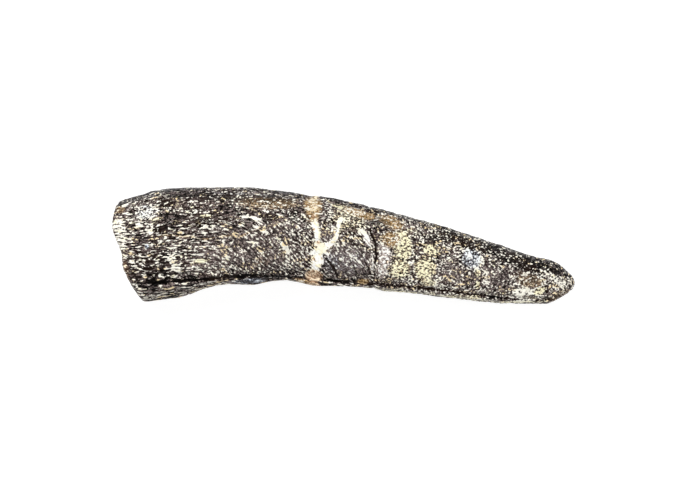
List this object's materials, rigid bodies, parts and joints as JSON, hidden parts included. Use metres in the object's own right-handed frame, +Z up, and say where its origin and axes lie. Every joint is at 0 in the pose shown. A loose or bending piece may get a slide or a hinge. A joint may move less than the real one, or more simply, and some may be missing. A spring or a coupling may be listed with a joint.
{
  "type": "fossil sauropod tooth",
  "caption": "Curved, pencil-like fossil sauropod tooth with a broken root, a pale mineral vein and an old crack, lying on its side.",
  "frame": {"origin": "on the surface that the tooth lies on, under the middle of its length and of its width", "axes": "+X from the broken root to the worn tip, +Y towards the convex lip side, +Z up, out of the side that the tooth shows as it lies"},
  "size_m": [0.052, 0.0132, 0.0093],
  "materials": {
    "fossil_enamel": "satin"
  },
  "bodies": {
    "root": {"tooth": "fossil_enamel"}
  },
  "joints": []
}
